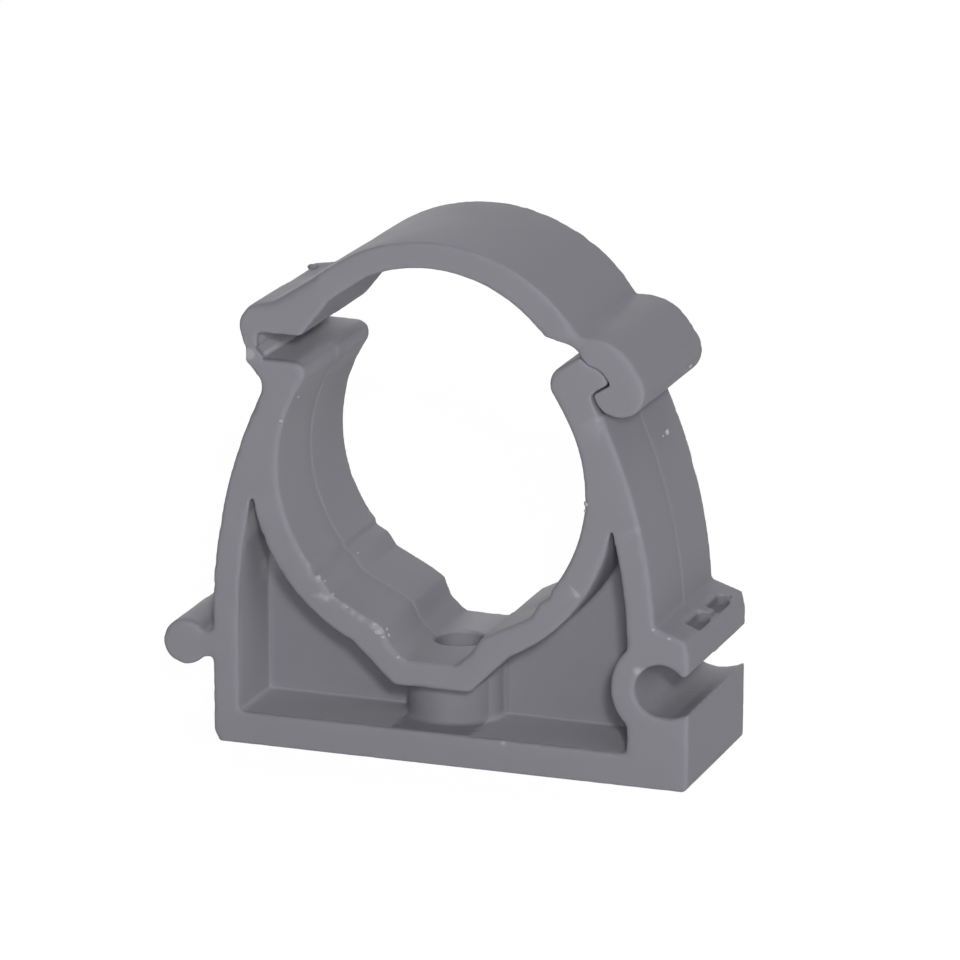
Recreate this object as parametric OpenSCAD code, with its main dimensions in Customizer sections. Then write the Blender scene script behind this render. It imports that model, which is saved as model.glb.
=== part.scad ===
// Plastic pipe clip: a saddle with two arms, a strap that snaps over the pipe, and the living hinge between them.
// Millimetres. X runs from the lug (left) to the socket (right), Y along the pipe, Z up. The base lies on Z = 0.

/* [Pipe bore] */
// Diameter of the pipe that the two arms grip
pipe_d = 50; // [49:0.25:51]
// Height of the pipe axis above the base
bore_height = 45.5; // [45:0.25:48]
// Width of the clip along the pipe
clip_depth = 29; // [22:1:36]

/* [Saddle] */
// Distance from the pipe axis to the outside of the left wall
left_half = 36; // [35.6:0.1:36.6]
// Distance from the pipe axis to the outside of the right arm
right_half = 36.6; // [36:0.1:37]
// Thickness of the wall left of the left pocket
left_wall = 4.4; // [4:0.1:5]
// Thickness of the arm right of the right pocket
right_wall = 4.7; // [4:0.1:5.2]
// Thickness of the cradle ring around the bore
ring_wall = 4.8; // [4:0.1:5.4]
// Thickness of the base plate under the pockets
base_th = 5.2; // [4.4:0.1:7]
// Thickness of the web between the front and rear pockets
web_th = 2; // [1.4:0.1:4]
// Depth of the screw trough below the bore
trough_depth = 4.15; // [3.6:0.05:4.6]
// Thickness of the ring under the screw trough
trough_floor = 4.15; // [3.6:0.05:5]

/* [Screw hole] */
// Diameter of the screw hole
screw_d = 8; // [5:0.25:8.4]
// Width of the boss around the screw hole
boss_d = 15.2; // [14:0.2:16.4]
// Extra length of the boss along the pipe
boss_extra = 4; // [1:0.25:6]

/* [Side coupling] */
// Height of the lug and socket axes above the base
coupling_height = 15.75; // [15.25:0.05:16.25]
// Diameter of the socket
socket_d = 8.3; // [7.6:0.1:8.6]
// Gap all round between a lug and the socket of the next clip
coupling_gap = 0.5; // [0.15:0.05:0.7]
// Distance from the socket axis to the right face
socket_inset = 4.6; // [4.2:0.1:5]
// Thickness of the wall around the socket
socket_wall = 4; // [3.2:0.1:4.4]
// Height of the socket mouth in the right face
mouth_h = 5.5; // [4.6:0.1:6]
// Thickness of the neck that carries the lug
lug_neck = 4.2; // [3:0.1:4.5]
// Gap between the facing walls of two coupled clips
wall_gap = 0.1; // [0.05:0.05:0.4]

/* [Strap] */
// Thickness of the strap
strap_th = 4.3; // [3.6:0.1:4.8]
// Radius of the outside of the strap
strap_r = 28.5; // [28:0.1:29]
// Height of the strap's centre above the pipe axis
strap_rise = 9.2; // [9:0.1:9.6]
// Gap between the snap hook and the arm head
hook_gap = 0.3; // [0.2:0.05:0.5]

/* [Living hinge] */
// Thickness of the hinge web
hinge_th = 1.6; // [1:0.1:1.7]
// Height of the hinge web
hinge_h = 2.2; // [1.8:0.1:2.4]

/* [Hidden] */
$fn = 96;
eps = 0.01;
pipe_r = pipe_d / 2;
// what is drawn point by point is drawn for a bore of 50, and follows the bore
u = pipe_d / 50;
// longer than any half of the clip, for cuts that run clear of it
reach = 1.2 * pipe_d;
// arms and side walls: the outside follows a large arc that is upright at arc_z, below the pipe axis
arc_r = 85;
arc_z = -25;
base_z = -bore_height;
floor_z = base_z + base_th;
// trough and ring
trough_z = -pipe_r - trough_depth;
ring_flat_z = trough_z - trough_floor;
ring_r = pipe_r + ring_wall;
ring_side_x = 12.8 * u;
ring_side_z = -sqrt(ring_r * ring_r - ring_side_x * ring_side_x);
ring_flat_x = 6.2;
ring_flat_mid = 0.3;
// side coupling
socket_r = socket_d / 2;
lug_r = socket_r - coupling_gap;
right_x = 42;
socket_x = right_x - socket_inset;
coupling_z = base_z + coupling_height;
lug_x = -left_half - socket_inset - wall_gap;
lip_z = -21.4;
// left arm top and hinge
arm_top_z = 17 * u;
nose_r = 1.8;
hinge_x = -30 * u;
hinge_z = 16.6 * u;
hinge_top_z = hinge_z + hinge_h;
block_x = hinge_x + 1.8;
block_z = 21.1 * u;
knuckle_r = 3.1;
// strap: the straight leg leaves the arc at leg_a from upright
strap_x = 0.2;
leg_a = 34.6;
leg_l = 12.4;
hook_a = 28;
leg_ri = strap_r - strap_th;
strap_ri = leg_ri + 0.1;
strap_in_x = strap_x - 0.6;
// arm head and snap hook
head_x = 22.3 * u;
head_z = 17.3 * u;
head_r = 3 * u;
hook_x = 25.3 * u;
hook_z = 16.4 * u;
hook_r = 8.75 * u;
lobe_x = 30.5 * u;
lobe_z = 17 * u;
lobe_r = 4.1 * u;

// extrudes a profile drawn in X and Z along Y, centred on Y = 0, with the pipe axis at bore_height
module along_y(depth) {
    translate([0, depth / 2, bore_height])
        rotate([90, 0, 0])
            linear_extrude(depth)
                children();
}

// everything inside both large side arcs, each moved in by a wall thickness
module between_arcs(left_in, right_in) {
    intersection() {
        translate([arc_r - left_half, arc_z])
            circle(r = arc_r - left_in, $fn = 360);
        translate([right_half - arc_r, arc_z])
            circle(r = arc_r - right_in, $fn = 360);
    }
}

// the hollow of the cradle: the pipe bore, the two contact ledges and the screw trough
module cradle_hollow() {
    circle(r = pipe_r, $fn = 240);
    polygon([
        [-4.2, trough_z],
        [4.2, trough_z],
        [6.5, trough_z + 2.05],
        [8.3 * u, -24.3 * u],
        [16.3 * u, -20.2 * u],
        [17.8 * u, -17.6 * u],
        [19.65 * u, -16.4 * u],
        [19.6 * u, -15.5 * u],
        [-19.6 * u, -15.5 * u],
        [-19.65 * u, -16.4 * u],
        [-17.8 * u, -17.6 * u],
        [-16.3 * u, -19.9 * u],
        [-8.1 * u, -24.05 * u],
        [-6.5, trough_z + 2.05]
    ]);
}

// the outer edge of the cradle ring, which is the upper edge of the pockets
module ring_outside() {
    circle(r = ring_r, $fn = 240);
    polygon([
        [ring_flat_mid - ring_flat_x, ring_flat_z],
        [ring_flat_mid + ring_flat_x, ring_flat_z],
        [ring_side_x, ring_side_z],
        [0, 0],
        [-ring_side_x, ring_side_z]
    ]);
}

// the open pocket under the ring, on the left and on the right
module pockets() {
    difference() {
        union() {
            intersection() {
                between_arcs(left_wall, right_wall);
                translate([-reach, arc_z])
                    square([2 * reach, -arc_z - 3 * u]);
            }
            // upright sides below the arcs
            translate([left_wall - left_half, floor_z])
                square([left_half + right_half - left_wall - right_wall, arc_z - floor_z]);
        }
        ring_outside();
        translate([socket_x, coupling_z])
            circle(r = socket_r + socket_wall);
    }
}

// the head of the right arm, with the ledge that holds the snap hook
module arm_head() {
    translate([head_x, head_z])
        circle(r = head_r, $fn = 60);
    polygon(u * [
        [20.5, 19.7],
        [24, 21.75],
        [24.6, 21.2],
        [25.4, 20.6],
        [26.8, 20.1],
        [27.7, 19.4],
        [28.6, 18.2],
        [28.3, 17.75],
        [26.5, 16.6],
        [26, 15.8],
        [26.25, 14.8],
        [27.2, 13],
        [21.4, 13],
        [19.4, 16.3]
    ]);
}

// the flare at the top of the left arm, which carries the hinge
module arm_flare() {
    translate([-22.3 * u, arm_top_z - nose_r])
        circle(r = nose_r, $fn = 60);
    polygon([
        [hinge_x, hinge_z],
        [hinge_x + hinge_th + 0.2, hinge_z],
        [hinge_x + hinge_th + 0.7, arm_top_z],
        [-22.3 * u, arm_top_z],
        [-20.5 * u, arm_top_z - nose_r - 0.2],
        [-20.5 * u, 14 * u],
        [-21 * u, 12 * u],
        [-26 * u, 9 * u],
        [-27.6 * u, 12.1 * u],
        [-27.65 * u, 13.4 * u]
    ]);
}

// outline of the saddle without its pockets
module saddle_outline() {
    difference() {
        union() {
            // arms, walls and base
            difference() {
                intersection() {
                    between_arcs(0, 0);
                    translate([-reach, base_z])
                        square([2 * reach, bore_height + 16 * u]);
                }
                // the arms stop below their tops, which are drawn by themselves
                translate([-reach, 12.1 * u])
                    square(reach);
                translate([0, 13 * u])
                    square(reach);
            }
            // lower walls, upright below the arcs
            polygon([
                [-left_half, arc_z],
                [-left_half, base_z + 1.5],
                [-left_half + 1, base_z],
                [right_x - 0.7, base_z],
                [right_x, base_z + 0.7],
                [right_x, lip_z - 2.6],
                [right_x - 0.6, lip_z],
                [right_half, lip_z + 1.6],
                [right_half - right_wall / 2, lip_z + 1.6]
            ]);
            arm_head();
            arm_flare();
            // lug
            translate([lug_x, coupling_z])
                circle(r = lug_r, $fn = 72);
            translate([lug_x, coupling_z - lug_neck / 2])
                square([-lug_x - left_half + left_wall / 2, lug_neck]);
        }
        cradle_hollow();
        // socket and its mouth
        translate([socket_x, coupling_z])
            circle(r = socket_r, $fn = 72);
        polygon([
            [socket_x, coupling_z + mouth_h / 2 - 0.6],
            [right_x - 1.6, coupling_z + mouth_h / 2 - 0.15],
            [right_x - 0.8, coupling_z + mouth_h / 2 - 0.3],
            [right_x + 1, coupling_z + mouth_h / 2 + 1.5],
            [right_x + 1, coupling_z - mouth_h / 2 - 0.1],
            [right_x, coupling_z - mouth_h / 2 - 0.5],
            [right_x - 0.4, coupling_z - mouth_h / 2 - 0.65],
            [right_x - 1.6, coupling_z - mouth_h / 2 - 1.1],
            [socket_x + 1.8, coupling_z - socket_r - 0.02],
            [socket_x, coupling_z - socket_r]
        ]);
        // the space outside the right arm, above the lip
        translate([right_half, lip_z + 1.6])
            square(reach);
    }
}

module saddle() {
    color([0.49, 0.49, 0.51])
    difference() {
        union() {
            along_y(clip_depth)
                difference() {
                    saddle_outline();
                    pockets();
                }
            // web between the front and rear pockets, let into the walls around it
            along_y(web_th)
                difference() {
                    intersection() {
                        between_arcs(left_wall / 2, right_wall / 2);
                        translate([-reach, base_z + base_th / 2])
                            square([2 * reach, bore_height - base_th / 2 - 6 * u]);
                    }
                    circle(r = pipe_r + ring_wall / 2, $fn = 240);
                    polygon([
                        [-ring_flat_x, trough_z - trough_floor / 2],
                        [ring_flat_x, trough_z - trough_floor / 2],
                        [ring_side_x, 0],
                        [-ring_side_x, 0]
                    ]);
                    translate([socket_x, coupling_z])
                        circle(r = socket_r + socket_wall / 2);
                }
            // boss around the screw hole, from the base plate to the ring
            for (y = [-boss_extra / 2, boss_extra / 2])
                translate([0, y, base_th / 2])
                    cylinder(d = boss_d, h = bore_height + trough_z - trough_floor / 2 - base_th / 2);
            translate([-boss_d / 2, -boss_extra / 2, base_th / 2])
                cube([boss_d, boss_extra, bore_height + trough_z - trough_floor / 2 - base_th / 2]);
        }
        // screw hole
        translate([0, 0, -1])
            cylinder(d = screw_d, h = bore_height);
        // two recesses in the top of the socket's upper lip
        for (y = [-6.8, 2.9])
            translate([right_x - 3.2, y, bore_height + lip_z - 2.4])
                cube([2.2, 7, 6]);
    }
}

// the arch of the strap and its straight leg
module strap_arch() {
    intersection() {
        difference() {
            translate([strap_x, strap_rise])
                circle(r = strap_r, $fn = 240);
            translate([strap_in_x, strap_rise])
                circle(r = strap_ri, $fn = 240);
        }
        // from the hook round to where the leg leaves the arc
        translate([strap_x, strap_rise])
            polygon([
                [0, 0],
                for (a = [hook_a, 60, 92, 90 + leg_a])
                    [2 * strap_r * cos(a), 2 * strap_r * sin(a)]
            ]);
    }
    translate([strap_x, strap_rise])
        rotate(90 + leg_a) {
            translate([leg_ri, 0])
                square([strap_th, leg_l]);
            // fills the step between the leg and the inside of the arc
            translate([leg_ri, -leg_l * 0.4])
                square([strap_th * 0.75, leg_l * 0.5]);
        }
}

// the block and the knuckle at the hinge end of the strap
module strap_block() {
    difference() {
        union() {
            polygon([
                [block_x, block_z],
                [-21.1 * u, block_z],
                [-16.3 * u, 27.2 * u],
                [-16.5 * u, 30 * u],
                [-20 * u, 29.9 * u],
                [-26 * u, 25.9 * u],
                [-29.5 * u, 25.4 * u],
                [-30.1 * u, 24.6 * u]
            ]);
            translate([hinge_x + 2, block_z + 1.1])
                circle(r = knuckle_r, $fn = 72);
        }
        // open below the block, and beside the hinge web
        translate([block_x, hinge_z])
            square([reach, block_z - hinge_z]);
        translate([-reach, hinge_z])
            square([reach, hinge_h]);
    }
    polygon([
        [block_x, hinge_top_z],
        [block_x, block_z + 0.6],
        [hinge_x - 0.8, block_z + 0.6],
        [hinge_x - 1, block_z],
        [hinge_x - 0.5, hinge_top_z + 0.9],
        [hinge_x, hinge_top_z]
    ]);
}

// the snap hook outside the arm head
module strap_hook() {
    intersection() {
        translate([hook_x, hook_z])
            circle(r = hook_r, $fn = 120);
        translate([hook_x - reach / 2, lobe_z - 0.4])
            square(reach);
    }
    translate([lobe_x, lobe_z])
        circle(r = lobe_r, $fn = 72);
}

// the space inside the hook: the arm head with a gap around it, and the way in from the bore
module hook_space() {
    polygon([
        [10 * u, 24.45 * u],
        [18.9 * u, 24.45 * u],
        [22.5 * u, 23.4 * u],
        [24.25 * u, 22.15 * u],
        [24.7 * u + hook_gap / 2, 21.3 * u + hook_gap],
        [25.4 * u + hook_gap / 2, 20.6 * u + hook_gap],
        [26.9 * u + hook_gap / 2, 20.1 * u + hook_gap],
        [27.8 * u + hook_gap, 19.4 * u + hook_gap],
        [28.6 * u + hook_gap, 18.3 * u],
        [28.6 * u + hook_gap, 17.7 * u],
        [28.4 * u, 17.75 * u - hook_gap],
        [26.5 * u + hook_gap / 2, 16.6 * u - hook_gap],
        [26 * u + hook_gap, 15.8 * u - hook_gap / 2],
        [26.25 * u + hook_gap, 14.8 * u],
        [27.2 * u + hook_gap, 13 * u],
        [27.5 * u + hook_gap, 8 * u],
        [10 * u, 8 * u]
    ]);
}

module strap() {
    color([0.53, 0.53, 0.56])
    along_y(clip_depth)
        difference() {
            union() {
                strap_arch();
                strap_block();
                strap_hook();
            }
            hook_space();
        }
}

module living_hinge() {
    color([0.62, 0.62, 0.64])
    translate([hinge_x, -clip_depth / 2, bore_height + hinge_z])
        cube([hinge_th, clip_depth, hinge_h]);
}

saddle();
strap();
living_hinge();
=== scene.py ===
"""A grey moulded pipe clip.

Softly rounded plastic with a parting line, a stress-whitened hinge, scuffs and moulding specks, with painted
fill light, painted highlights and painted shade in places.
"""

import math

import bpy
import numpy as np
from mathutils import Matrix, Vector, noise
from mathutils.bvhtree import BVHTree


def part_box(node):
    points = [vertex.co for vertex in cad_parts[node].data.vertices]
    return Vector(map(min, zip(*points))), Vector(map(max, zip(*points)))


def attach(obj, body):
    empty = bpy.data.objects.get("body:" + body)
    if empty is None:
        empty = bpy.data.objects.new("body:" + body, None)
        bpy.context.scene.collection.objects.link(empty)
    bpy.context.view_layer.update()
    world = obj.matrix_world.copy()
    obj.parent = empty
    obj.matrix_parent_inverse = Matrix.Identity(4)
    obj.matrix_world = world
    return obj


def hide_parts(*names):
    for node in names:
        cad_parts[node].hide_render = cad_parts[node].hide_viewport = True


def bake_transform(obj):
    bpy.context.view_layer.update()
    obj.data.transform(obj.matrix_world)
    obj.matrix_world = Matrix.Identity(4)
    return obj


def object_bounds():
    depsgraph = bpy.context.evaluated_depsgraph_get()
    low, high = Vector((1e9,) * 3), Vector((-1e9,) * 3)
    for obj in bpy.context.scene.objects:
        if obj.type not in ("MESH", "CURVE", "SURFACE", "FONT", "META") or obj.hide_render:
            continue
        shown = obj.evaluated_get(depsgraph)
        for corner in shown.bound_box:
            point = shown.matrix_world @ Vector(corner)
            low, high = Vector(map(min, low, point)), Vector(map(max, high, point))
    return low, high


MM = 0.001

# Camera: where it stands, as seen from the point it looks at
AZIMUTH = 19.432
ELEVATION = 15.872
ROLL = 0.0586
DISTANCE = 1017.7 * MM
LOOK_AT = (3.177 * MM, 0.0, 42.281 * MM)
LENS = 246.03
SENSOR = 36.0
FRAME = 960
CLIP_START = 0.05
CLIP_END = 20

# Lights: azimuth, elevation, distance, size, power; they aim at the clip's middle
LAMPS = {
    "fill": (19.4, 15.9, 1.5, 0.12, 6.0),
    "key": (24, 22, 1.5, 0.14, 10.6),
    "right": (60, 12, 1.5, 1.0, 5.0),
    "top": (170, 70, 1.5, 1.4, 6.5),
    "rear_fill": (205, 12, 1.5, 1.2, 6.5),
}
LIT_POINT = (0, 0, 0.04)
WORLD_LIGHT = 0.04

# Floor: side in metres, how far it lies under the base, colour, roughness, glow, and how much of that shows
FLOOR_SIDE = 8
FLOOR_DROP = 0.02 * MM
FLOOR_COLOUR = (0.9, 0.9, 0.9, 1)
FLOOR_ROUGHNESS = 0.9
FLOOR_GLOW = 1.06
FLOOR_SHARE = 0.9
WHITE = (1, 1, 1, 1)

# Places on the clip: the pipe's axis, the front face, and how deep the marks on that face reach
PIPE_Z = 45.5 * MM
FRONT_Y = -14.5 * MM
FRONT_SKIN = 0.8 * MM

# Depths from the front face over which marks that lie behind it set in
BEHIND_FRONT = (0.7 * MM, 1.8 * MM)

# Moulded surface: what counts as one point, grids of the skins, and triangles left on a piece
WELD_DISTANCE = 0.001 * MM
SADDLE_GRID = 0.27 * MM
STRAP_GRID = 0.24 * MM
HINGE_GRID = 0.16 * MM
FACE_LIMIT = 195000

# Rounding: how far a full pass moves a point towards the middle of its neighbours, and passes
FULL_PASS = 0.5
ROUNDING_STEPS = 13

# The rear half is rounded less; y over which that changes
REAR_ROUNDING = 0.25
REAR_CHANGE = (-4 * MM, 4 * MM)

# Outer edges: passes that give the wider surroundings, and the bulge that counts as an edge
WIDE_STEPS = 10
EDGE_BULGE = 0.10 * MM

# How steeply each effect falls off at the edge of its place
STEEP = {
    "crisp": 3.5,
    "soft": 2,
    "contact": 3,
    "moved": 2,
    "scuff": 1.4,
    "arm top": 2.5,
    "patch": 2,
    "hinge": 3,
}

# Places that stay crisp: x and z from the pipe's axis, radius
CRISP = {
    "hook": (27.2 * MM, 18.0 * MM, 6.2 * MM),
    "hinge": (-29.2 * MM, 18.0 * MM, 2.6 * MM),
    "left pocket tip": (-29.0 * MM, -6.3 * MM, 3.5 * MM),
    "right pocket tip": (28.7 * MM, -5.2 * MM, 3.5 * MM),
}
BASE_EDGE = 1.2 * MM
BASE_CRISP = 0.8

# Rounder places: x and z from the pipe's axis, radius, passes, and the share of it on the rear half,
# then the distances before mid-depth over which that share becomes a full one
SOFT = {
    "strap": (
        (23.9 * MM, 25.0 * MM, 3.4 * MM, 40, 0.3),
        (33.2 * MM, 20.5 * MM, 5.5 * MM, 18, 0.0),
        (-26.6 * MM, 26.2 * MM, 4.2 * MM, 60, 0.0),
        (-21.6 * MM, 29.0 * MM, 4.2 * MM, 60, 0.0),
    ),
    "saddle": ((-22.6 * MM, 14.6 * MM, 3.0 * MM, 16, 0.0),),
}
SOFT_CHANGE = (-6 * MM, 2 * MM)

# Pocket tips are narrower than the skin's grid, so they are drawn up: x and z, reach, distance
POCKET_TIPS = (
    (-29.0 * MM, -6.6 * MM, 3.2 * MM, 1.4 * MM),
    (28.6 * MM, -5.6 * MM, 3.2 * MM, 0.8 * MM),
)
TIP_FADE_ACROSS = (0.4, 1)
TIP_FADE_ALONG = (0.1, 1.2)

# Where hook and arm press on each other: x and z, radius, then how far both swell at the faces and inside
CONTACTS = (
    (26.3 * MM, 20.2 * MM, 3.2 * MM, 0.145 * MM, 0.145 * MM),
    (27.6 * MM, 14.4 * MM, 3.6 * MM, -0.10 * MM, 0.14 * MM),
)
CONTACT_INSIDE = (0.3 * MM, 0.9 * MM)

# The rear half of the left ledge stands further in: x and z, radius, distance, y where it sets in
LEDGE = (-13.5 * MM, -20.0 * MM, 9.0 * MM)
LEDGE_SWELL = 0.45 * MM
LEDGE_REAR = (-2 * MM, 8 * MM)

# The outer edge of the strap's block sinks behind mid-depth: x and z, radius, distance, y of both ends
BLOCK_EDGE = (-29.5 * MM, 23.2 * MM, 6.0 * MM)
BLOCK_SINK = 0.33 * MM
BLOCK_START = (-3 * MM, 6 * MM)
BLOCK_END = (10.5 * MM, 14 * MM)

# The lug hangs a little low: x where it sets in, x from where it is full, distance
LUG_FROM = -36.2 * MM
LUG_FULL = -37.4 * MM
LUG_DROP = 0.16 * MM

# Worn recesses in the socket's lip: box corners, filled floor, worn bar (two y and its top), passes
RECESS_LOW = (38.3 * MM, -7.6 * MM, 21.0 * MM)
RECESS_HIGH = (41.6 * MM, 10.7 * MM, 24.4 * MM)
RECESS_FLOOR = 23.1 * MM
RECESS_BAR = (0.2 * MM, 2.9 * MM, 23.6 * MM)
RECESS_STEPS = 55

# Painted shade in the recesses: strength, outermost x, heights and slopes over which it sets in
RECESS_PAINTED_SHADE = 0.60
RECESS_OUTER = 41.05 * MM
RECESS_SUNK = (23.8 * MM, 24.06 * MM)
RECESS_SLOPE = (0.03, 0.15)

# Parting line at mid-depth: a low ridge, uneven along its length, with a painted highlight on it and painted
# shade before it
RIDGE_HEIGHT = {"saddle": 0.05 * MM, "strap": 0.012 * MM}
RIDGE_WIDTH = 0.28 * MM
RIDGE_MEAN = 0.6
RIDGE_SWING = 0.6
RIDGE_SWING_SIZE = 3 * MM
RIDGE_PAINTED_HIGHLIGHT = 0.14
RIDGE_PAINTED_SHADE = 0.12
RIDGE_SHADE_REACH = 1.5 * MM

# The rear half of the mould is set off to the right: distance, and heights over which that grows
MOULD_OFFSET = {"saddle": 0.15 * MM, "strap": 0.0}
OFFSET_FROM = 8 * MM
OFFSET_FULL = 20 * MM

# Uneven edges and slow waves of a worn mould, and a painted highlight on the outer edges
NICK_DEPTH = 0.25 * MM
NICK_SIZE = 1.7 * MM
NICK_FROM = 0.1
WAVE_DEPTH = 0.06 * MM
WAVE_SIZE = 7.0 * MM
EDGE_PAINTED_HIGHLIGHT = 0.02

# Shifts that give each noise its own pattern
SHIFT = {"ridge": 5, "nick": 9, "wave": 3, "hinge": 2, "streaks": 7}

# Pale scuffs on the front face: x and z from the pipe's axis, radius, strength
SCUFFS = (
    (-20.6 * MM, -13.6 * MM, 0.9 * MM, 0.12),
    (-19.6 * MM, -15.2 * MM, 0.8 * MM, 0.22),
    (-18.2 * MM, -17.2 * MM, 0.8 * MM, 0.50),
    (-17.9 * MM, -20.0 * MM, 0.7 * MM, 0.45),
    (-17.0 * MM, -20.3 * MM, 0.7 * MM, 0.50),
    (-16.0 * MM, -19.9 * MM, 0.6 * MM, 0.45),
    (-15.2 * MM, -20.3 * MM, 0.6 * MM, 0.25),
    (-14.0 * MM, -21.2 * MM, 0.6 * MM, 0.30),
    (-12.6 * MM, -22.2 * MM, 0.6 * MM, 0.25),
    (-11.2 * MM, -23.0 * MM, 0.7 * MM, 0.22),
    (-9.0 * MM, -24.0 * MM, 1.0 * MM, 0.45),
    (-7.8 * MM, -24.6 * MM, 0.8 * MM, 0.50),
    (26.9 * MM, 12.2 * MM, 0.8 * MM, 0.35),
    (27.2 * MM, 11.0 * MM, 0.9 * MM, 0.20),
    (33.4 * MM, -4.4 * MM, 0.9 * MM, 0.15),
    (24.0 * MM, -15.6 * MM, 0.6 * MM, 0.60),
    (36.2 * MM, -38.8 * MM, 0.7 * MM, 0.70),
    (12.1 * MM, -40.7 * MM, 0.5 * MM, 0.60),
    (33.8 * MM, -26.8 * MM, 0.9 * MM, 0.60),
    (34.9 * MM, -26.6 * MM, 0.6 * MM, 0.40),
)

# A lump in the body's colour on the strap's block: pixel of the photograph that it lies under, and radius
LUMP = ((313, 267), 0.95 * MM)
LUMP_PALE = 0.06

# Moulding specks: the same two values for each
SPECKS = (
    ((298, 397), 0.34 * MM),
    ((281, 421), 0.32 * MM),
    ((319, 577), 0.50 * MM),
    ((325, 581), 0.30 * MM),
    ((333, 594), 0.34 * MM),
    ((347, 607), 0.24 * MM),
    ((378, 632), 0.56 * MM),
    ((387, 629), 0.36 * MM),
    ((389, 635), 0.40 * MM),
    ((383, 637), 0.30 * MM),
    ((374, 624), 0.34 * MM),
    ((398, 657), 0.34 * MM),
    ((358, 553), 0.30 * MM),
    ((390, 585), 0.24 * MM),
    ((667, 432), 0.66 * MM),
    ((663, 436), 0.30 * MM),
    ((586, 504), 0.50 * MM),
    ((585, 511), 0.34 * MM),
    ((584, 517), 0.30 * MM),
    ((653, 630), 0.30 * MM),
    ((669, 639), 0.30 * MM),
    ((690, 366), 0.44 * MM),
)
SPECK_PALE = 0.75

# Shape of a speck or lump: width and height against its length, and the depth and number of its bumps
GRAIN_WIDTH = 0.75
GRAIN_HEIGHT = 0.5
GRAIN_ROUGH = 0.35
GRAIN_BUMPS = 1.6

# Plastic: colours (linear), refraction, gloss, glow from within, and roughness from blotch to blotch
PLASTIC_DARK = (0.208, 0.204, 0.229, 1)
PLASTIC_LIGHT = (0.228, 0.224, 0.249, 1)
# The pale colour gives whitening and specks, and also painted fill light and painted highlights; the colour
# after it gives painted shade.
PALE = (0.42, 0.42, 0.45, 1)
PAINTED_SHADE_COLOUR = (0.10, 0.10, 0.11, 1)
REFRACTION = 1.46
GLOSS = 0.12
SUBSURFACE = 0.25
SUBSURFACE_REACH = 1.5 * MM
ROUGHNESS = (0.52, 0.70)
BLOTCH_SCALE = 110
BLOTCH_DETAIL = 4
GRAIN_SCALE = 1500
GRAIN_DETAIL = 2
GRAIN_STRENGTH = 0.12
GRAIN_DEPTH = 0.05 * MM

# How far a surface has to face up, or across the pipe, to take painted fill light
UPWARD = (0.2, 0.7)
ACROSS = (0.2, 0.6)
SIDEWAYS = (0.15, 0.5)
INWARD = (0.1, 0.5)

# Painted fill light in the pockets, more on their floors: the pockets' half depth, ring, sides and heights
POCKET_PAINTED_FILL = 0.35
POCKET_FLOOR_PAINTED_FILL = 0.25
POCKET_DEPTH = 13.8 * MM
POCKET_RING = 27.6 * MM
POCKET_SIDES = (6.6 * MM, 32 * MM)
POCKET_HEIGHTS = (4.6 * MM, 41 * MM)

# Painted fill light on the arm's top under the strap
ARM_TOP_PAINTED_FILL = 0.60
ARM_TOP = (-25.0 * MM, 17.0 * MM, 4.8 * MM)

# Painted fill light on the bore's surfaces that face the pipe; they lie within this distance of the pipe's
# axis
BORE_PAINTED_FILL = 0.24
BORE_REACH = 30 * MM

# The boss takes a little painted shade, most of all on its right: its half width, heights, half depth, shaded
# width
BOSS_PAINTED_SHADE = 0.12
BOSS_SIDE = 8.4 * MM
BOSS_HEIGHTS = (5.4 * MM, 16 * MM)
BOSS_DEPTH = 12 * MM
BOSS_SHADE = 5 * MM

# Outer side of the right arm, where the parting line shows, unless it faces up more than this
ARM_SIDES = (0, 38 * MM)
ARM_HEIGHTS = (24.5 * MM, 60 * MM)
ARM_UPWARD = 0.5

# Places behind the front face that get painted fill light: x and z from the pipe's axis, radius, depth where
# they begin, strength
PAINTED_FILL_PATCHES = {
    "saddle": (
        (-31.0 * MM, -16.0 * MM, 6.5 * MM, 9.0 * MM, 0.48),
        (-29.5 * MM, -9.5 * MM, 4.0 * MM, 0.8 * MM, 0.50),
        (37.0 * MM, -32.5 * MM, 3.6 * MM, 0.8 * MM, 0.20),
        (0.0, -32.0 * MM, 5.0 * MM, 10.6 * MM, 0.30),
        (-40.7 * MM, -26.1 * MM, 3.5 * MM, 0.8 * MM, 0.30),
        (-22.3 * MM, 13.5 * MM, 3.0 * MM, 18.0 * MM, 0.20),
    ),
    "strap": ((-22.0 * MM, 19.5 * MM, 4.0 * MM, 0.8 * MM, 0.25),),
}
PATCH_FADE = 1.1 * MM

# The left wall's outside takes no painted fill light: right of this x, or below this height, is not it
WALL_INSIDE = -32 * MM
WALL_FOOT = 22 * MM

# Living hinge: how far its web runs into both sides, and how its inner side slopes out to its foot
HINGE_ROOT = 0.7 * MM
HINGE_FILLET = 1.15 * MM
HINGE_SLOPE = (17.2 * MM, 18.9 * MM)
HINGE_STEPS = 3
HINGE_UNEVEN = 0.03 * MM
HINGE_UNEVEN_SIZE = 1.2 * MM

# Where the hinge has whitened: a patch on its front; painted fill light on its inner side and on the strap's
# wall beyond it
WHITE_SPOT = (-29.4 * MM, 17.7 * MM, 1.1 * MM)
WHITE_SPOT_PALE = 0.42
HINGE_PAINTED_FILL = 0.50
STRAP_WALL = (-28.2 * MM, 20.0 * MM, 2.2 * MM)
WALL_FACING = (0.3, 0.7)

# The crease at the hinge's foot: x and z, strength, width, and distances before mid-depth where it sets in
CREASE = (-27.45 * MM, 17.55 * MM)
CREASE_PALE = 0.75
CREASE_WIDTH = 0.24 * MM
CREASE_FORWARD = (6 * MM, 9.5 * MM)

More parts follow.
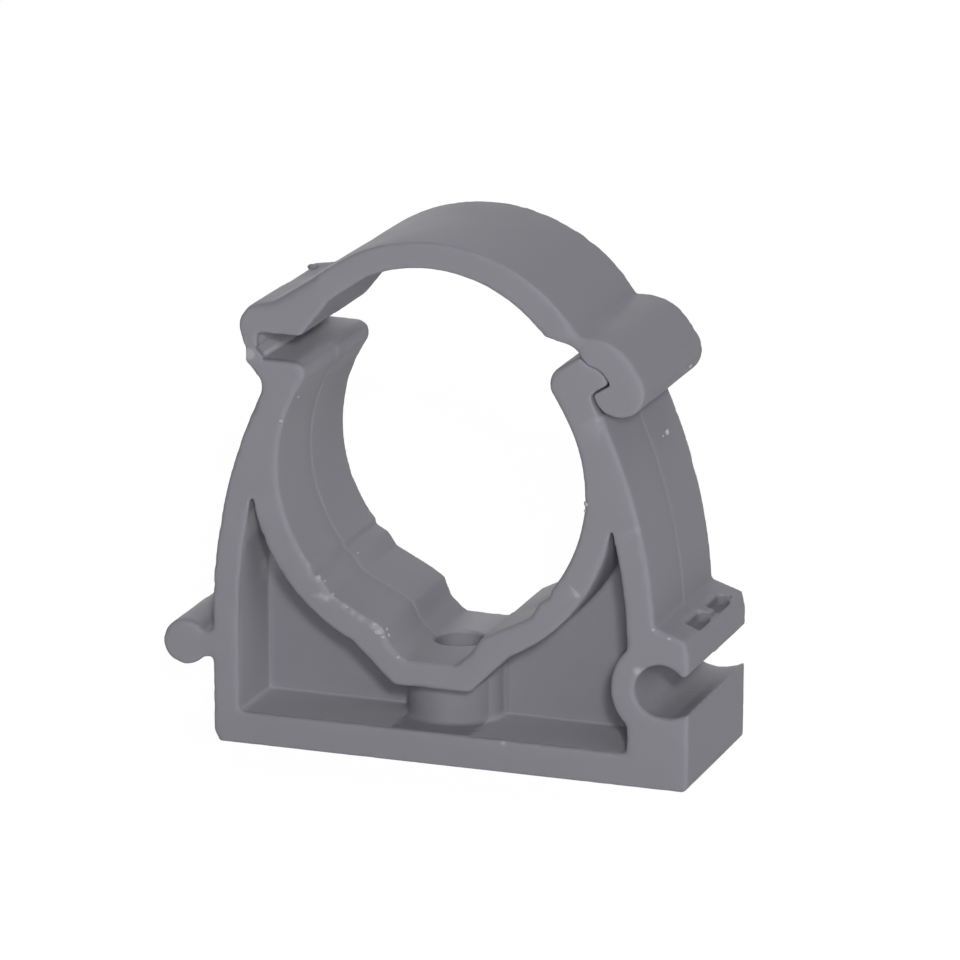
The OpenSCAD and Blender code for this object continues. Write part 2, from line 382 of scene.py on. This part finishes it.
# Pale streaks along the bend of the hinge
STREAK_PALE = 0.15
STREAK_WIDTH = 0.6 * MM
STREAK_MEAN = 0.6
STREAK_SIZE = 1.5 * MM


def copy_of(node, name):
    """A new object with a copy of a CAD node's mesh."""
    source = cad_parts[node]
    piece = bpy.data.objects.new(name, source.data.copy())
    for key in list(piece.keys()):
        del piece[key]
    bpy.context.scene.collection.objects.link(piece)
    return piece


def apply_modifiers(piece):
    """Makes the mesh with its modifiers the piece's own mesh."""
    bpy.context.view_layer.update()
    evaluated = piece.evaluated_get(bpy.context.evaluated_depsgraph_get())
    made = bpy.data.meshes.new_from_object(evaluated)
    piece.modifiers.clear()
    piece.data = made


def remesh(piece, grid):
    """Gives the piece an even skin of small quads."""
    weld = piece.modifiers.new("weld", "WELD")
    weld.merge_threshold = WELD_DISTANCE
    skin = piece.modifiers.new("skin", "REMESH")
    skin.mode = "VOXEL"
    skin.voxel_size = grid
    skin.adaptivity = 0.0
    apply_modifiers(piece)


def thin_out(piece):
    """Merges faces where the skin is flat, down to the face limit."""
    triangles = 2 * len(piece.data.polygons)
    if triangles > FACE_LIMIT:
        fewer = piece.modifiers.new("fewer", "DECIMATE")
        fewer.ratio = FACE_LIMIT / triangles
        apply_modifiers(piece)


class Skin:
    """A mesh's points and what joins them, as arrays."""

    def __init__(self, mesh):
        self.mesh = mesh
        self.size = len(mesh.vertices)
        co = np.empty(self.size * 3, np.float32)
        mesh.vertices.foreach_get("co", co)
        self.points = co.reshape(-1, 3).astype(float)
        pairs = np.empty(len(mesh.edges) * 2, np.int32)
        mesh.edges.foreach_get("vertices", pairs)
        self.a, self.b = pairs.reshape(-1, 2).T
        self.links = np.bincount(self.a, minlength=self.size) + np.bincount(self.b, minlength=self.size)

    def smoothed(self, points, factor, steps):
        """The points after each has moved towards the middle of its neighbours."""
        points = points.copy()
        for _ in range(steps):
            total = np.empty_like(points)
            for k in range(3):
                one_way = np.bincount(self.a, points[self.b, k], self.size)
                total[:, k] = one_way + np.bincount(self.b, points[self.a, k], self.size)
            points += factor[:, None] * (total / self.links[:, None] - points)
        return points

    def keep_inside(self, low, high):
        """Moves points that lie outside a box onto its sides."""
        self.points = np.clip(self.points, np.array(low), np.array(high))

    def store(self):
        """Writes the points back to the mesh."""
        self.mesh.vertices.foreach_set("co", self.points.astype(np.float32).ravel())
        self.mesh.update()

    def normals(self):
        """Outward directions of the mesh as it was last stored."""
        out = np.empty(self.size * 3, np.float32)
        self.mesh.vertex_normals.foreach_get("vector", out)
        return out.reshape(-1, 3).astype(float)


def ramp(values, start, end):
    """0 up to start, 1 from end on, smooth between them."""
    share = np.clip((values - start) / (end - start), 0, 1)
    return share * share * (3 - 2 * share)


def between(values, low, high):
    return (values > low) & (values < high)


def near(points, x, z, radius, steep):
    """1 at a place given from the pipe's axis, falling to 0 at the radius, all along the depth."""
    far = np.hypot(points[:, 0] - x, points[:, 2] - PIPE_Z - z) / radius
    return np.clip(steep * (1 - far), 0, 1)


def cloud(points, size, shift):
    """Smooth noise from -1 to 1 at each point."""
    away = Vector((shift, -shift, 0.5 * shift))
    return np.array([noise.noise(Vector(p) + away) for p in points / size])


def inwardness(points, normals):
    """1 on surfaces that face the pipe, 0 on the others."""
    radial = (points - (0, 0, PIPE_Z)) * (1, 0, 1)
    radial /= np.linalg.norm(radial, axis=1)[:, None]
    return ramp(-(radial * normals).sum(1), *INWARD)


def behind_front(y):
    """0 on the front face and its rounded edge, 1 behind them."""
    return ramp(y - FRONT_Y, *BEHIND_FRONT)


def on_front(y):
    return y < FRONT_Y + FRONT_SKIN


def bulge_out(skin, normals):
    """How far each point stands out from its wider surroundings: positive on outer edges."""
    wide = skin.smoothed(skin.points, np.full(skin.size, FULL_PASS), WIDE_STEPS)
    return ((skin.points - wide) * normals).sum(1)


def crispness(points):
    """1 where the skin keeps its edges: at fits, at narrow tips and round the base."""
    crisp = BASE_CRISP * ramp(-points[:, 2], -BASE_EDGE, 0)
    for place in CRISP.values():
        crisp = np.maximum(crisp, near(points, *place, STEEP["crisp"]))
    return crisp


def draw_tips(skin):
    """Draws the pockets' narrow tips up to where they end."""
    for x, z, reach, distance in POCKET_TIPS:
        side = np.abs(skin.points[:, 0] - x) / reach
        rise = np.abs(skin.points[:, 2] - PIPE_Z - z) / reach
        skin.points[:, 2] += distance * (1 - ramp(side, *TIP_FADE_ACROSS)) * (1 - ramp(rise, *TIP_FADE_ALONG))


def in_recesses(points):
    return ((points > RECESS_LOW) & (points < RECESS_HIGH)).all(1)


def wear_recesses(skin):
    """Fills the recesses to a shallower floor, wears the bar between them down and rounds both."""
    inside = in_recesses(skin.points)
    y, z = skin.points[:, 1], skin.points[:, 2]
    bar = inside & between(y, *RECESS_BAR[:2])
    z[inside] = np.maximum(z[inside], RECESS_FLOOR)
    z[bar] = np.minimum(z[bar], RECESS_BAR[2])
    skin.points = skin.smoothed(skin.points, FULL_PASS * inside, RECESS_STEPS)


def soften(skin, node):
    """Rounds the places that are rounder than the rest."""
    front = ramp(-skin.points[:, 1], *SOFT_CHANGE)
    for x, z, radius, steps, rear in SOFT[node]:
        share = near(skin.points, x, z, radius, STEEP["soft"]) * (rear + (1 - rear) * front)
        skin.points = skin.smoothed(skin.points, FULL_PASS * share * (1 - crispness(skin.points)), steps)


def round_edges(skin, node):
    """Rounds the skin, less on the rear half. Returns 1 where it stayed crisp."""
    crisp = crispness(skin.points)
    half = REAR_ROUNDING + (1 - REAR_ROUNDING) * ramp(-skin.points[:, 1], *REAR_CHANGE)
    skin.points = skin.smoothed(skin.points, FULL_PASS * (1 - crisp) * half, ROUNDING_STEPS)
    soften(skin, node)
    if node == "saddle":
        wear_recesses(skin)
        draw_tips(skin)
    skin.store()
    return crisp


def contact_swell(points):
    """How far the faces of hook and arm swell towards each other, most of all behind the outer faces."""
    inside = ramp(-FRONT_Y - np.abs(points[:, 1]), *CONTACT_INSIDE)
    swell = np.zeros(len(points))
    for x, z, radius, at_face, deeper in CONTACTS:
        here = near(points, x, z, radius, STEEP["contact"]) * (at_face + (deeper - at_face) * inside)
        swell = np.maximum(swell, here)
    return swell


def in_plane(normals):
    """Each point's outward direction across the pipe, with no length on the front and rear faces."""
    flat = normals * (1, 0, 1)
    length = np.linalg.norm(flat, axis=1)
    return flat * (ramp(length, *SIDEWAYS) / np.maximum(length, 1e-6))[:, None]


def ledge_swell(points, normals):
    """How far the rear half of the left ledge stands further into the bore."""
    rear = ramp(points[:, 1], *LEDGE_REAR)
    return LEDGE_SWELL * inwardness(points, normals) * near(points, *LEDGE, STEEP["moved"]) * rear


def block_sink(points):
    """How far the outer edge of the strap's block sinks behind mid-depth."""
    start, end = BLOCK_END
    rear = ramp(points[:, 1], *BLOCK_START) * ramp(-points[:, 1], -end, -start)
    return BLOCK_SINK * near(points, *BLOCK_EDGE, STEEP["moved"]) * rear


def mould_traces(points, normals, edge, node):
    """How far parting line, nicked edges and waves move each point outwards."""
    across = 1 - np.abs(normals[:, 1])
    along = RIDGE_MEAN + RIDGE_SWING * cloud(points * (1, 0, 1), RIDGE_SWING_SIZE, SHIFT["ridge"])
    ridge = RIDGE_HEIGHT[node] * along * across * np.exp(-(points[:, 1] / RIDGE_WIDTH) ** 2)
    nick = NICK_DEPTH * np.clip(cloud(points, NICK_SIZE, SHIFT["nick"]) - NICK_FROM, 0, 1) * edge
    wave = WAVE_DEPTH * cloud(points, WAVE_SIZE, SHIFT["wave"])
    return ridge - nick + wave


def set_off(points, node):
    """Sets the rear half of the mould off to the right, and lowers the lug."""
    offset = MOULD_OFFSET[node] * ramp(points[:, 2], OFFSET_FROM, OFFSET_FULL)
    points[:, 0] += offset * ramp(points[:, 1], -RIDGE_WIDTH, RIDGE_WIDTH)
    points[:, 2] -= LUG_DROP * ramp(-points[:, 0], -LUG_FROM, -LUG_FULL)


def mould(piece, node):
    """Rounds the piece's edges and gives it a mould's traces. Returns its skin and 1 on outer edges."""
    skin = Skin(piece.data)
    crisp = round_edges(skin, node)
    normals = skin.normals()
    edge = np.clip(bulge_out(skin, normals) / EDGE_BULGE, 0, 1)
    move = mould_traces(skin.points, normals, edge, node) * (1 - crisp)
    if node == "saddle":
        move += ledge_swell(skin.points, normals)
    else:
        move -= block_sink(skin.points)
    swell = contact_swell(skin.points)
    skin.points += move[:, None] * normals + swell[:, None] * in_plane(normals)
    set_off(skin.points, node)
    skin.keep_inside(*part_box(node))
    skin.store()
    return skin, edge


def painted_fill_patches(points, node):
    """Painted fill light in places that lie deep."""
    depth = points[:, 1] - FRONT_Y
    tone = np.zeros(len(points))
    for x, z, radius, start, strength in PAINTED_FILL_PATCHES[node]:
        deep = ramp(depth, start, start + PATCH_FADE)
        tone += strength * near(points, x, z, radius, STEEP["patch"]) * deep
    return tone


def pocket_painted_fill(points, upward, across):
    """Painted fill light on the pockets' walls, more on their floors."""
    x, y, z = points.T
    pocket = (np.abs(y) < POCKET_DEPTH) & (np.hypot(x, z - PIPE_Z) > POCKET_RING)
    pocket &= between(np.abs(x), *POCKET_SIDES) & between(z, *POCKET_HEIGHTS)
    # Painted fill light, which lifts the shade deep in the pockets.
    return pocket * across * (POCKET_PAINTED_FILL + POCKET_FLOOR_PAINTED_FILL * upward)


def seam_tone(points, inward, upward, across):
    """The parting line's painted highlight on its ridge and the painted shade before it, in the bore and
    outside the right arm.
    """
    x, y, z = points.T
    outer_arm = between(x, *ARM_SIDES) & between(z, *ARM_HEIGHTS) & (upward < ARM_UPWARD)
    # Painted highlight along the ridge and painted shade before it.
    ridge = RIDGE_PAINTED_HIGHLIGHT * np.exp(-((y - RIDGE_WIDTH) / RIDGE_WIDTH) ** 2)
    painted_shade_before = RIDGE_PAINTED_SHADE * (y < 0) * np.exp(y / RIDGE_SHADE_REACH)
    return np.maximum(inward, outer_arm * across) * (ridge - painted_shade_before)


def recess_painted_shade(points, normals):
    """Painted shade in the worn recesses and on their rims."""
    low, high = RECESS_SUNK
    sunk = np.maximum(ramp(-points[:, 2], -high, -low), ramp(1 - normals[:, 2], *RECESS_SLOPE))
    return RECESS_PAINTED_SHADE * (in_recesses(points) & (points[:, 0] < RECESS_OUTER)) * sunk


def boss_painted_shade(points):
    """Painted shade on the boss, twice as much on its right."""
    x, y, z = points.T
    boss = (np.abs(x) < BOSS_SIDE) & between(z, *BOSS_HEIGHTS) & (np.abs(y) < BOSS_DEPTH)
    return BOSS_PAINTED_SHADE * boss * (1 + ramp(x, 0, BOSS_SHADE))


def saddle_tone(skin):
    """Painted fill light in the pockets, on the arm's top, in the bore and in deep places; painted highlight
    and shade at the seam, painted shade in the recesses and on the boss.
    """
    points, normals = skin.points, skin.normals()
    x, y, z = points.T
    upward = ramp(normals[:, 2], *UPWARD)
    across = ramp(1 - np.abs(normals[:, 1]), *ACROSS)
    in_bore = np.hypot(x, z - PIPE_Z) < BORE_REACH
    inward = inwardness(points, normals) * in_bore * across
    # Painted fill light on the arm's top, in the shade under the strap.
    arm_top = ARM_TOP_PAINTED_FILL * upward * near(points, *ARM_TOP, STEEP["arm top"]) * behind_front(y)
    # Painted fill light: the pockets, the arm's top and the bore's inner surfaces are made paler where they
    # lie in shade.
    painted_fill = np.maximum(np.maximum(pocket_painted_fill(points, upward, across), arm_top), BORE_PAINTED_FILL * inward)
    # Painted fill light in deep places, kept off the left wall's outside.
    painted_fill += ((x > WALL_INSIDE) | (z < WALL_FOOT)) * painted_fill_patches(points, "saddle")
    seam = seam_tone(points, inward, upward, across)
    # The recesses and the boss take painted shade.
    return painted_fill + seam - recess_painted_shade(points, normals) - boss_painted_shade(points)


def strap_tone(skin):
    """Painted fill light inside the hinge, where the strap's wall goes on from the web, and beneath."""
    facing = ramp(skin.normals()[:, 0], *WALL_FACING) * behind_front(skin.points[:, 1])
    # Painted fill light on the strap's wall, in the hinge's shade.
    paled = HINGE_PAINTED_FILL * facing * near(skin.points, *STRAP_WALL, STEEP["hinge"])
    return paled + painted_fill_patches(skin.points, "strap")


def scuff_tone(points):
    """Pale scuffs on the front face."""
    tone = np.zeros(len(points))
    for x, z, radius, strength in SCUFFS:
        tone += strength * near(points, x, z, radius, STEEP["scuff"])
    return tone * on_front(points[:, 1])


def set_pale(mesh, values):
    """Keeps how pale each point is, for the material; below 0 it takes painted shade."""
    pale = mesh.attributes.new("pale", "FLOAT", "POINT")
    pale.data.foreach_set("value", np.clip(values, -1, 1).astype(np.float32))


def noise_texture(tree, place, scale, detail):
    """Noise from 0 to 1 in the object's own space."""
    texture = tree.nodes.new("ShaderNodeTexNoise")
    texture.inputs["Scale"].default_value = scale
    texture.inputs["Detail"].default_value = detail
    tree.links.new(place, texture.inputs["Vector"])
    return texture.outputs["Fac"]


def colour_mix(tree, share, first, second):
    """A mix of two colours. The first may be another node's colour."""
    mix = tree.nodes.new("ShaderNodeMix")
    mix.data_type = "RGBA"
    tree.links.new(share, mix.inputs["Factor"])
    if isinstance(first, tuple):
        mix.inputs["A"].default_value = first
    else:
        tree.links.new(first, mix.inputs["A"])
    mix.inputs["B"].default_value = second
    return mix.outputs["Result"]


def plastic_colour(tree, blotch):
    """Blotchy grey, paler or darker where the points say so; the darker places are painted shade."""
    pale = tree.nodes.new("ShaderNodeAttribute")
    pale.attribute_name = "pale"
    below = tree.nodes.new("ShaderNodeMath")
    below.operation = "MULTIPLY"
    below.inputs[1].default_value = -1
    tree.links.new(pale.outputs["Fac"], below.inputs[0])
    tone = colour_mix(tree, blotch, PLASTIC_DARK, PLASTIC_LIGHT)
    paled = colour_mix(tree, pale.outputs["Fac"], tone, PALE)
    return colour_mix(tree, below.outputs["Value"], paled, PAINTED_SHADE_COLOUR)


def plastic_material():
    """Matte plastic with blotches, a fine grain, and whitening, painted fill light and painted shade from the
    points.
    """
    material = bpy.data.materials.new("grey_plastic")
    material.use_nodes = True
    tree = material.node_tree
    shader = tree.nodes["Principled BSDF"]
    shader.inputs["IOR"].default_value = REFRACTION
    shader.inputs["Specular IOR Level"].default_value = GLOSS
    shader.inputs["Subsurface Weight"].default_value = SUBSURFACE
    shader.inputs["Subsurface Scale"].default_value = SUBSURFACE_REACH
    shader.inputs["Subsurface Radius"].default_value = (1, 1, 1)
    place = tree.nodes.new("ShaderNodeTexCoord").outputs["Object"]
    blotch = noise_texture(tree, place, BLOTCH_SCALE, BLOTCH_DETAIL)
    tree.links.new(plastic_colour(tree, blotch), shader.inputs["Base Color"])
    rough = tree.nodes.new("ShaderNodeMapRange")
    rough.inputs["To Min"].default_value, rough.inputs["To Max"].default_value = ROUGHNESS
    tree.links.new(blotch, rough.inputs["Value"])
    tree.links.new(rough.outputs["Result"], shader.inputs["Roughness"])
    bump = tree.nodes.new("ShaderNodeBump")
    bump.inputs["Strength"].default_value = GRAIN_STRENGTH
    bump.inputs["Distance"].default_value = GRAIN_DEPTH
    tree.links.new(noise_texture(tree, place, GRAIN_SCALE, GRAIN_DETAIL), bump.inputs["Height"])
    tree.links.new(bump.outputs["Normal"], shader.inputs["Normal"])
    return material


def shade_smooth(piece):
    piece.data.polygons.foreach_set("use_smooth", [True] * len(piece.data.polygons))
    piece.data.update()


def finish_piece(piece, node):
    """Material and smooth shading; the CAD node, if one is given, is hidden."""
    shade_smooth(piece)
    piece.data.materials.clear()
    piece.data.materials.append(plastic)
    if node:
        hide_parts(node)


def moulded(node, name, grid):
    """A rigid CAD node's look: the same shape with moulded edges, seams and scuffs."""
    piece = copy_of(node, name)
    remesh(piece, grid)
    skin, edge = mould(piece, node)
    tone = saddle_tone(skin) if node == "saddle" else strap_tone(skin)
    # The outer edges get a painted highlight; the tone holds painted fill light and painted shade besides the
    # scuffs.
    set_pale(piece.data, EDGE_PAINTED_HIGHLIGHT * edge + scuff_tone(skin.points) + tone)
    thin_out(piece)
    finish_piece(piece, node)
    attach(piece, node)
    return piece


def hinge_shape(skin, low, high):
    """Slopes the web's inner side out to its foot. Returns 1 on the inner side, 0 on the outer one."""
    skin.points = skin.smoothed(skin.points, np.full(skin.size, FULL_PASS), HINGE_STEPS)
    inner = ramp(skin.points[:, 0], low.x, high.x)
    slope = 1 - ramp(skin.points[:, 2] - PIPE_Z, *HINGE_SLOPE)
    under = np.clip(low.z - skin.points[:, 2], 0, None)
    uneven = HINGE_UNEVEN * cloud(skin.points, HINGE_UNEVEN_SIZE, SHIFT["hinge"])
    skin.points[:, 0] += inner * HINGE_FILLET * slope + (1 - inner) * under + uneven
    skin.keep_inside(*cad_box)
    skin.store()
    return inner


def hinge_tone(points, inner, bend_z):
    """Whitening of the web: a spot on its front and streaks along the bend; painted fill light on its inner
    side; and a pale line along the crease.
    """
    x, y, z = points.T
    spot = WHITE_SPOT_PALE * near(points, *WHITE_SPOT, STEEP["hinge"]) * on_front(y)
    far = np.hypot(x - CREASE[0], z - PIPE_Z - CREASE[1])
    forward = ramp(-y, *CREASE_FORWARD) * behind_front(y)
    crease = CREASE_PALE * np.exp(-(far / CREASE_WIDTH) ** 2) * forward
    bend = np.exp(-((z - bend_z) / STREAK_WIDTH) ** 2)
    patchy = np.clip(STREAK_MEAN + cloud(points, STREAK_SIZE, SHIFT["streaks"]), 0, 1)
    streaks = STREAK_PALE * (1 - inner) * bend * patchy
    # The web's inner side takes painted fill light.
    return np.maximum(spot + streaks, HINGE_PAINTED_FILL * inner * behind_front(y)) + crease


def hinge_web():
    """The thin web: it runs into both sides, thickens towards its root and is whitened where it bends."""
    low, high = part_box("living_hinge")
    middle = (low + high) / 2
    piece = copy_of("living_hinge", "hinge_web")
    reach = 1 + 2 * HINGE_ROOT / (high.z - low.z)
    for vertex in piece.data.vertices:
        vertex.co.z = middle.z + (vertex.co.z - middle.z) * reach
    remesh(piece, HINGE_GRID)
    skin = Skin(piece.data)
    inner = hinge_shape(skin, low, high)
    set_pale(piece.data, hinge_tone(skin.points, inner, middle.z))
    finish_piece(piece, "living_hinge")
    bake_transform(piece)


def direction(azimuth, elevation):
    """Unit vector towards a compass direction and height; azimuth 0 is the front."""
    az, el = math.radians(azimuth), math.radians(elevation)
    return Vector((math.sin(az) * math.cos(el), -math.cos(az) * math.cos(el), math.sin(el)))


def camera_axes():
    """The camera's right, up and back directions."""
    back = direction(AZIMUTH, ELEVATION)
    az, roll = math.radians(AZIMUTH), math.radians(ROLL)
    level = Vector((math.cos(az), math.sin(az), 0))
    right = math.cos(roll) * level + math.sin(roll) * back.cross(level)
    return right, back.cross(right), back


def make_camera():
    """The view of the photograph."""
    data = bpy.data.cameras.new("camera")
    camera = bpy.data.objects.new("camera", data)
    bpy.context.scene.collection.objects.link(camera)
    axes = camera_axes()
    turn = Matrix(axes).transposed().to_4x4()
    camera.matrix_world = Matrix.Translation(Vector(LOOK_AT) + axes[2] * DISTANCE) @ turn
    data.sensor_width = SENSOR
    data.lens = LENS
    data.clip_start = CLIP_START
    data.clip_end = CLIP_END
    bpy.context.scene.camera = camera


def under_pixel(tree, pixel):
    """Place, normal and distance of the first surface that the camera sees at a pixel of the photograph."""
    right, up, back = camera_axes()
    start = Vector(LOOK_AT) + back * DISTANCE
    side = (pixel[0] / FRAME - 0.5) * SENSOR / LENS
    rise = (0.5 - pixel[1] / FRAME) * SENSOR / LENS
    place, normal, _, distance = tree.ray_cast(start, side * right + rise * up - back)
    return place, normal, distance


def speck(name, place, normal, radius, shift, pale):
    """A small uneven grain, flattened against the surface that it sits on."""
    bpy.ops.mesh.primitive_ico_sphere_add(subdivisions=3, radius=1)
    grain = bpy.context.object
    grain.name = name
    turn = normal.to_track_quat("Z", "Y").to_matrix()
    for vertex in grain.data.vertices:
        rough = 1 + GRAIN_ROUGH * noise.noise(vertex.co * GRAIN_BUMPS + Vector((shift, 0, 0)))
        flat = Vector((vertex.co.x, GRAIN_WIDTH * vertex.co.y, GRAIN_HEIGHT * vertex.co.z))
        vertex.co = np.clip(place + turn @ (flat * rough * radius), *cad_box)
    set_pale(grain.data, np.full(len(grain.data.vertices), pale))
    return grain


def make_specks(pieces):
    """The lump and the specks, on the surfaces that the camera sees, riding on what carries them."""
    trees = {}
    for body, piece in pieces.items():
        trees[body] = BVHTree.FromObject(piece, bpy.context.evaluated_depsgraph_get())
    grains = [(*LUMP, LUMP_PALE)] + [(*row, SPECK_PALE) for row in SPECKS]
    for number, (pixel, radius, pale) in enumerate(grains):
        hits = []
        for body, tree in trees.items():
            place, normal, distance = under_pixel(tree, pixel)
            if place is not None:
                hits.append((distance, body, place, normal))
        if hits:
            _, body, place, normal = min(hits, key=lambda hit: hit[0])
            grain = speck("speck_%02d" % number, place, normal, radius, number, pale)
            finish_piece(grain, None)
            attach(grain, body)


def area_light(name, azimuth, elevation, distance, size, power):
    """A round lamp that aims at the clip's middle."""
    data = bpy.data.lights.new(name, "AREA")
    data.shape = "DISK"
    data.size = size
    data.energy = power
    lamp = bpy.data.objects.new(name, data)
    bpy.context.scene.collection.objects.link(lamp)
    lamp.location = Vector(LIT_POINT) + direction(azimuth, elevation) * distance
    back = lamp.location - Vector(LIT_POINT)
    lamp.rotation_mode = "QUATERNION"
    lamp.rotation_quaternion = back.to_track_quat("Z", "Y")


def background_share(tree):
    """1 for rays that should see the plain background: from the camera, in gloss and through glass."""
    path = tree.nodes.new("ShaderNodeLightPath")
    share = path.outputs["Is Camera Ray"]
    for kind in ("Is Glossy Ray", "Is Transmission Ray"):
        either = tree.nodes.new("ShaderNodeMath")
        either.operation = "MAXIMUM"
        tree.links.new(share, either.inputs[0])
        tree.links.new(path.outputs[kind], either.inputs[1])
        share = either.outputs["Value"]
    return share


def mix_shaders(tree, share, first, second, surface):
    """Gives a surface the first shader, and the second by its share."""
    mix = tree.nodes.new("ShaderNodeMixShader")
    tree.links.new(share, mix.inputs["Fac"])
    tree.links.new(first, mix.inputs[1])
    tree.links.new(second, mix.inputs[2])
    tree.links.new(mix.outputs["Shader"], surface)


def make_world():
    """White where it is seen, and a faint even light on the object."""
    world = bpy.data.worlds.new("studio")
    world.use_nodes = True
    bpy.context.scene.world = world
    tree = world.node_tree
    light = tree.nodes["Background"]
    light.inputs["Color"].default_value = WHITE
    light.inputs["Strength"].default_value = WORLD_LIGHT
    seen = tree.nodes.new("ShaderNodeBackground")
    seen.inputs["Color"].default_value = WHITE
    seen.inputs["Strength"].default_value = 1.0
    surface = tree.nodes["World Output"].inputs["Surface"]
    outputs = (light.outputs["Background"], seen.outputs["Background"])
    mix_shaders(tree, background_share(tree), *outputs, surface)


def make_floor():
    """A pale floor that shows white and keeps a light shadow."""
    bpy.ops.mesh.primitive_plane_add(size=FLOOR_SIDE, location=(0, 0, -FLOOR_DROP))
    floor = bpy.context.object
    floor.name = "floor"
    material = bpy.data.materials.new("floor")
    material.use_nodes = True
    tree = material.node_tree
    shader = tree.nodes["Principled BSDF"]
    shader.inputs["Base Color"].default_value = FLOOR_COLOUR
    shader.inputs["Roughness"].default_value = FLOOR_ROUGHNESS
    shader.inputs["Specular IOR Level"].default_value = 0.0
    glow = tree.nodes.new("ShaderNodeEmission")
    glow.inputs["Color"].default_value = WHITE
    glow.inputs["Strength"].default_value = FLOOR_GLOW
    share = tree.nodes.new("ShaderNodeMath")
    share.operation = "MULTIPLY"
    share.inputs[1].default_value = FLOOR_SHARE
    tree.links.new(background_share(tree), share.inputs[0])
    surface = tree.nodes["Material Output"].inputs["Surface"]
    outputs = (shader.outputs["BSDF"], glow.outputs["Emission"])
    mix_shaders(tree, share.outputs["Value"], *outputs, surface)
    floor.data.materials.append(material)


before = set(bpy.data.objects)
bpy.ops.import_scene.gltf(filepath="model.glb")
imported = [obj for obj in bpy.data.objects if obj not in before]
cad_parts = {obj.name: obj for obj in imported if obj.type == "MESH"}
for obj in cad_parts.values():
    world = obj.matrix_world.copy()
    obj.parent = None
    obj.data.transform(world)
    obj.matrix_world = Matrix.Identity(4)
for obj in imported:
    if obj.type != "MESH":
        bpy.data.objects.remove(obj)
cad_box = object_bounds()

make_camera()
make_world()
make_floor()
for lamp_name, settings in LAMPS.items():
    area_light(lamp_name, *settings)

plastic = plastic_material()
saddle = moulded("saddle", "saddle_moulding", SADDLE_GRID)
strap = moulded("strap", "strap_moulding", STRAP_GRID)
hinge_web()
make_specks({"saddle": saddle, "strap": strap})

bpy.context.scene.view_settings.view_transform = "Standard"
